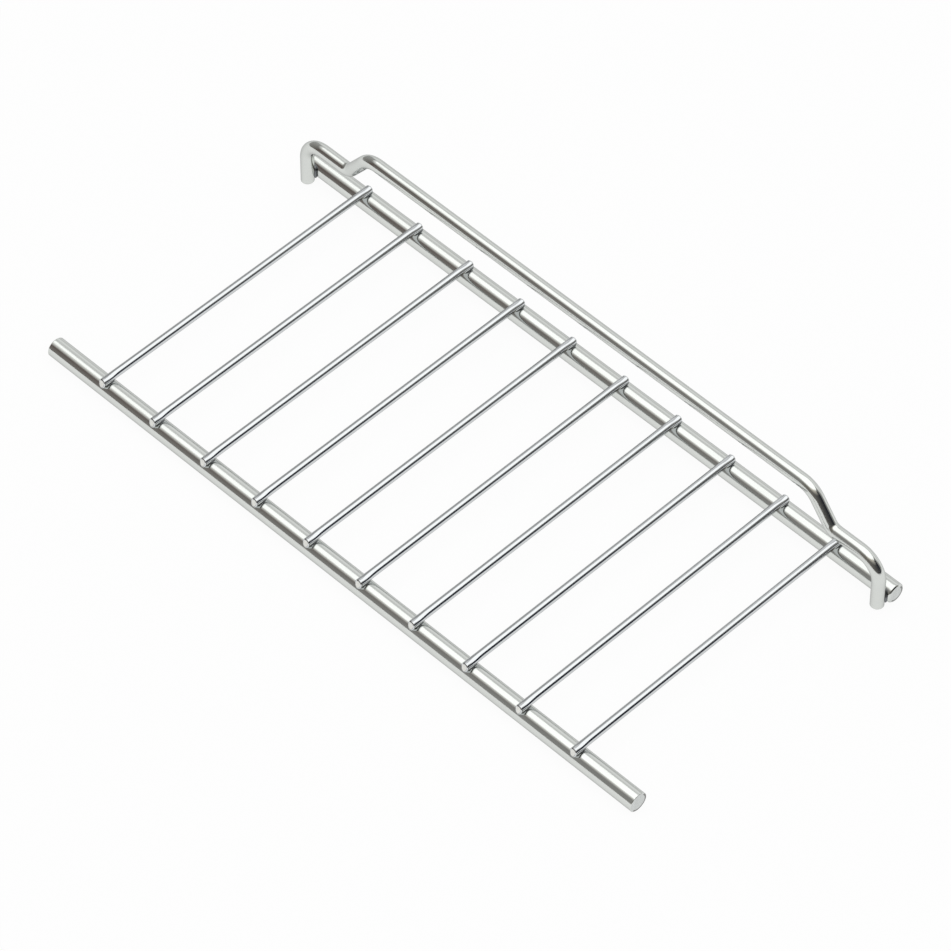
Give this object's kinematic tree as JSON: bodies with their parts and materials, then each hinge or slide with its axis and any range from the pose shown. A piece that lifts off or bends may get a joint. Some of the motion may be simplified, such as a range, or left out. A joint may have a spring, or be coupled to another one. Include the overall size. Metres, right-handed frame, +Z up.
{
  "type": "refrigerator wire shelf",
  "caption": "Welded wire shelf: two round carrier rods bridged by thin cross wires, with a bent guard wire rising as a low rail along the rear edge.",
  "frame": {"origin": "centre of the shelf's footprint, on the plane that the two carrier rods stand on", "axes": "+X along the carrier rods, +Y from the front rod to the rear rod with the guard, +Z up"},
  "size_m": [0.2784, 0.131, 0.0375],
  "materials": {
    "plated_rod": "bright nickel-chrome plate",
    "plated_wire": "bright nickel-chrome plate",
    "plated_guard": "bright nickel-chrome plate"
  },
  "bodies": {
    "root": {"front_rod": "plated_rod", "rear_rod": "plated_rod", "guard_wire": "plated_guard", "cross_wire_01": "plated_wire", "cross_wire_02": "plated_wire", "cross_wire_03": "plated_wire", "cross_wire_04": "plated_wire", "cross_wire_05": "plated_wire", "cross_wire_06": "plated_wire", "cross_wire_07": "plated_wire", "cross_wire_08": "plated_wire", "cross_wire_09": "plated_wire", "cross_wire_10": "plated_wire"}
  },
  "joints": []
}
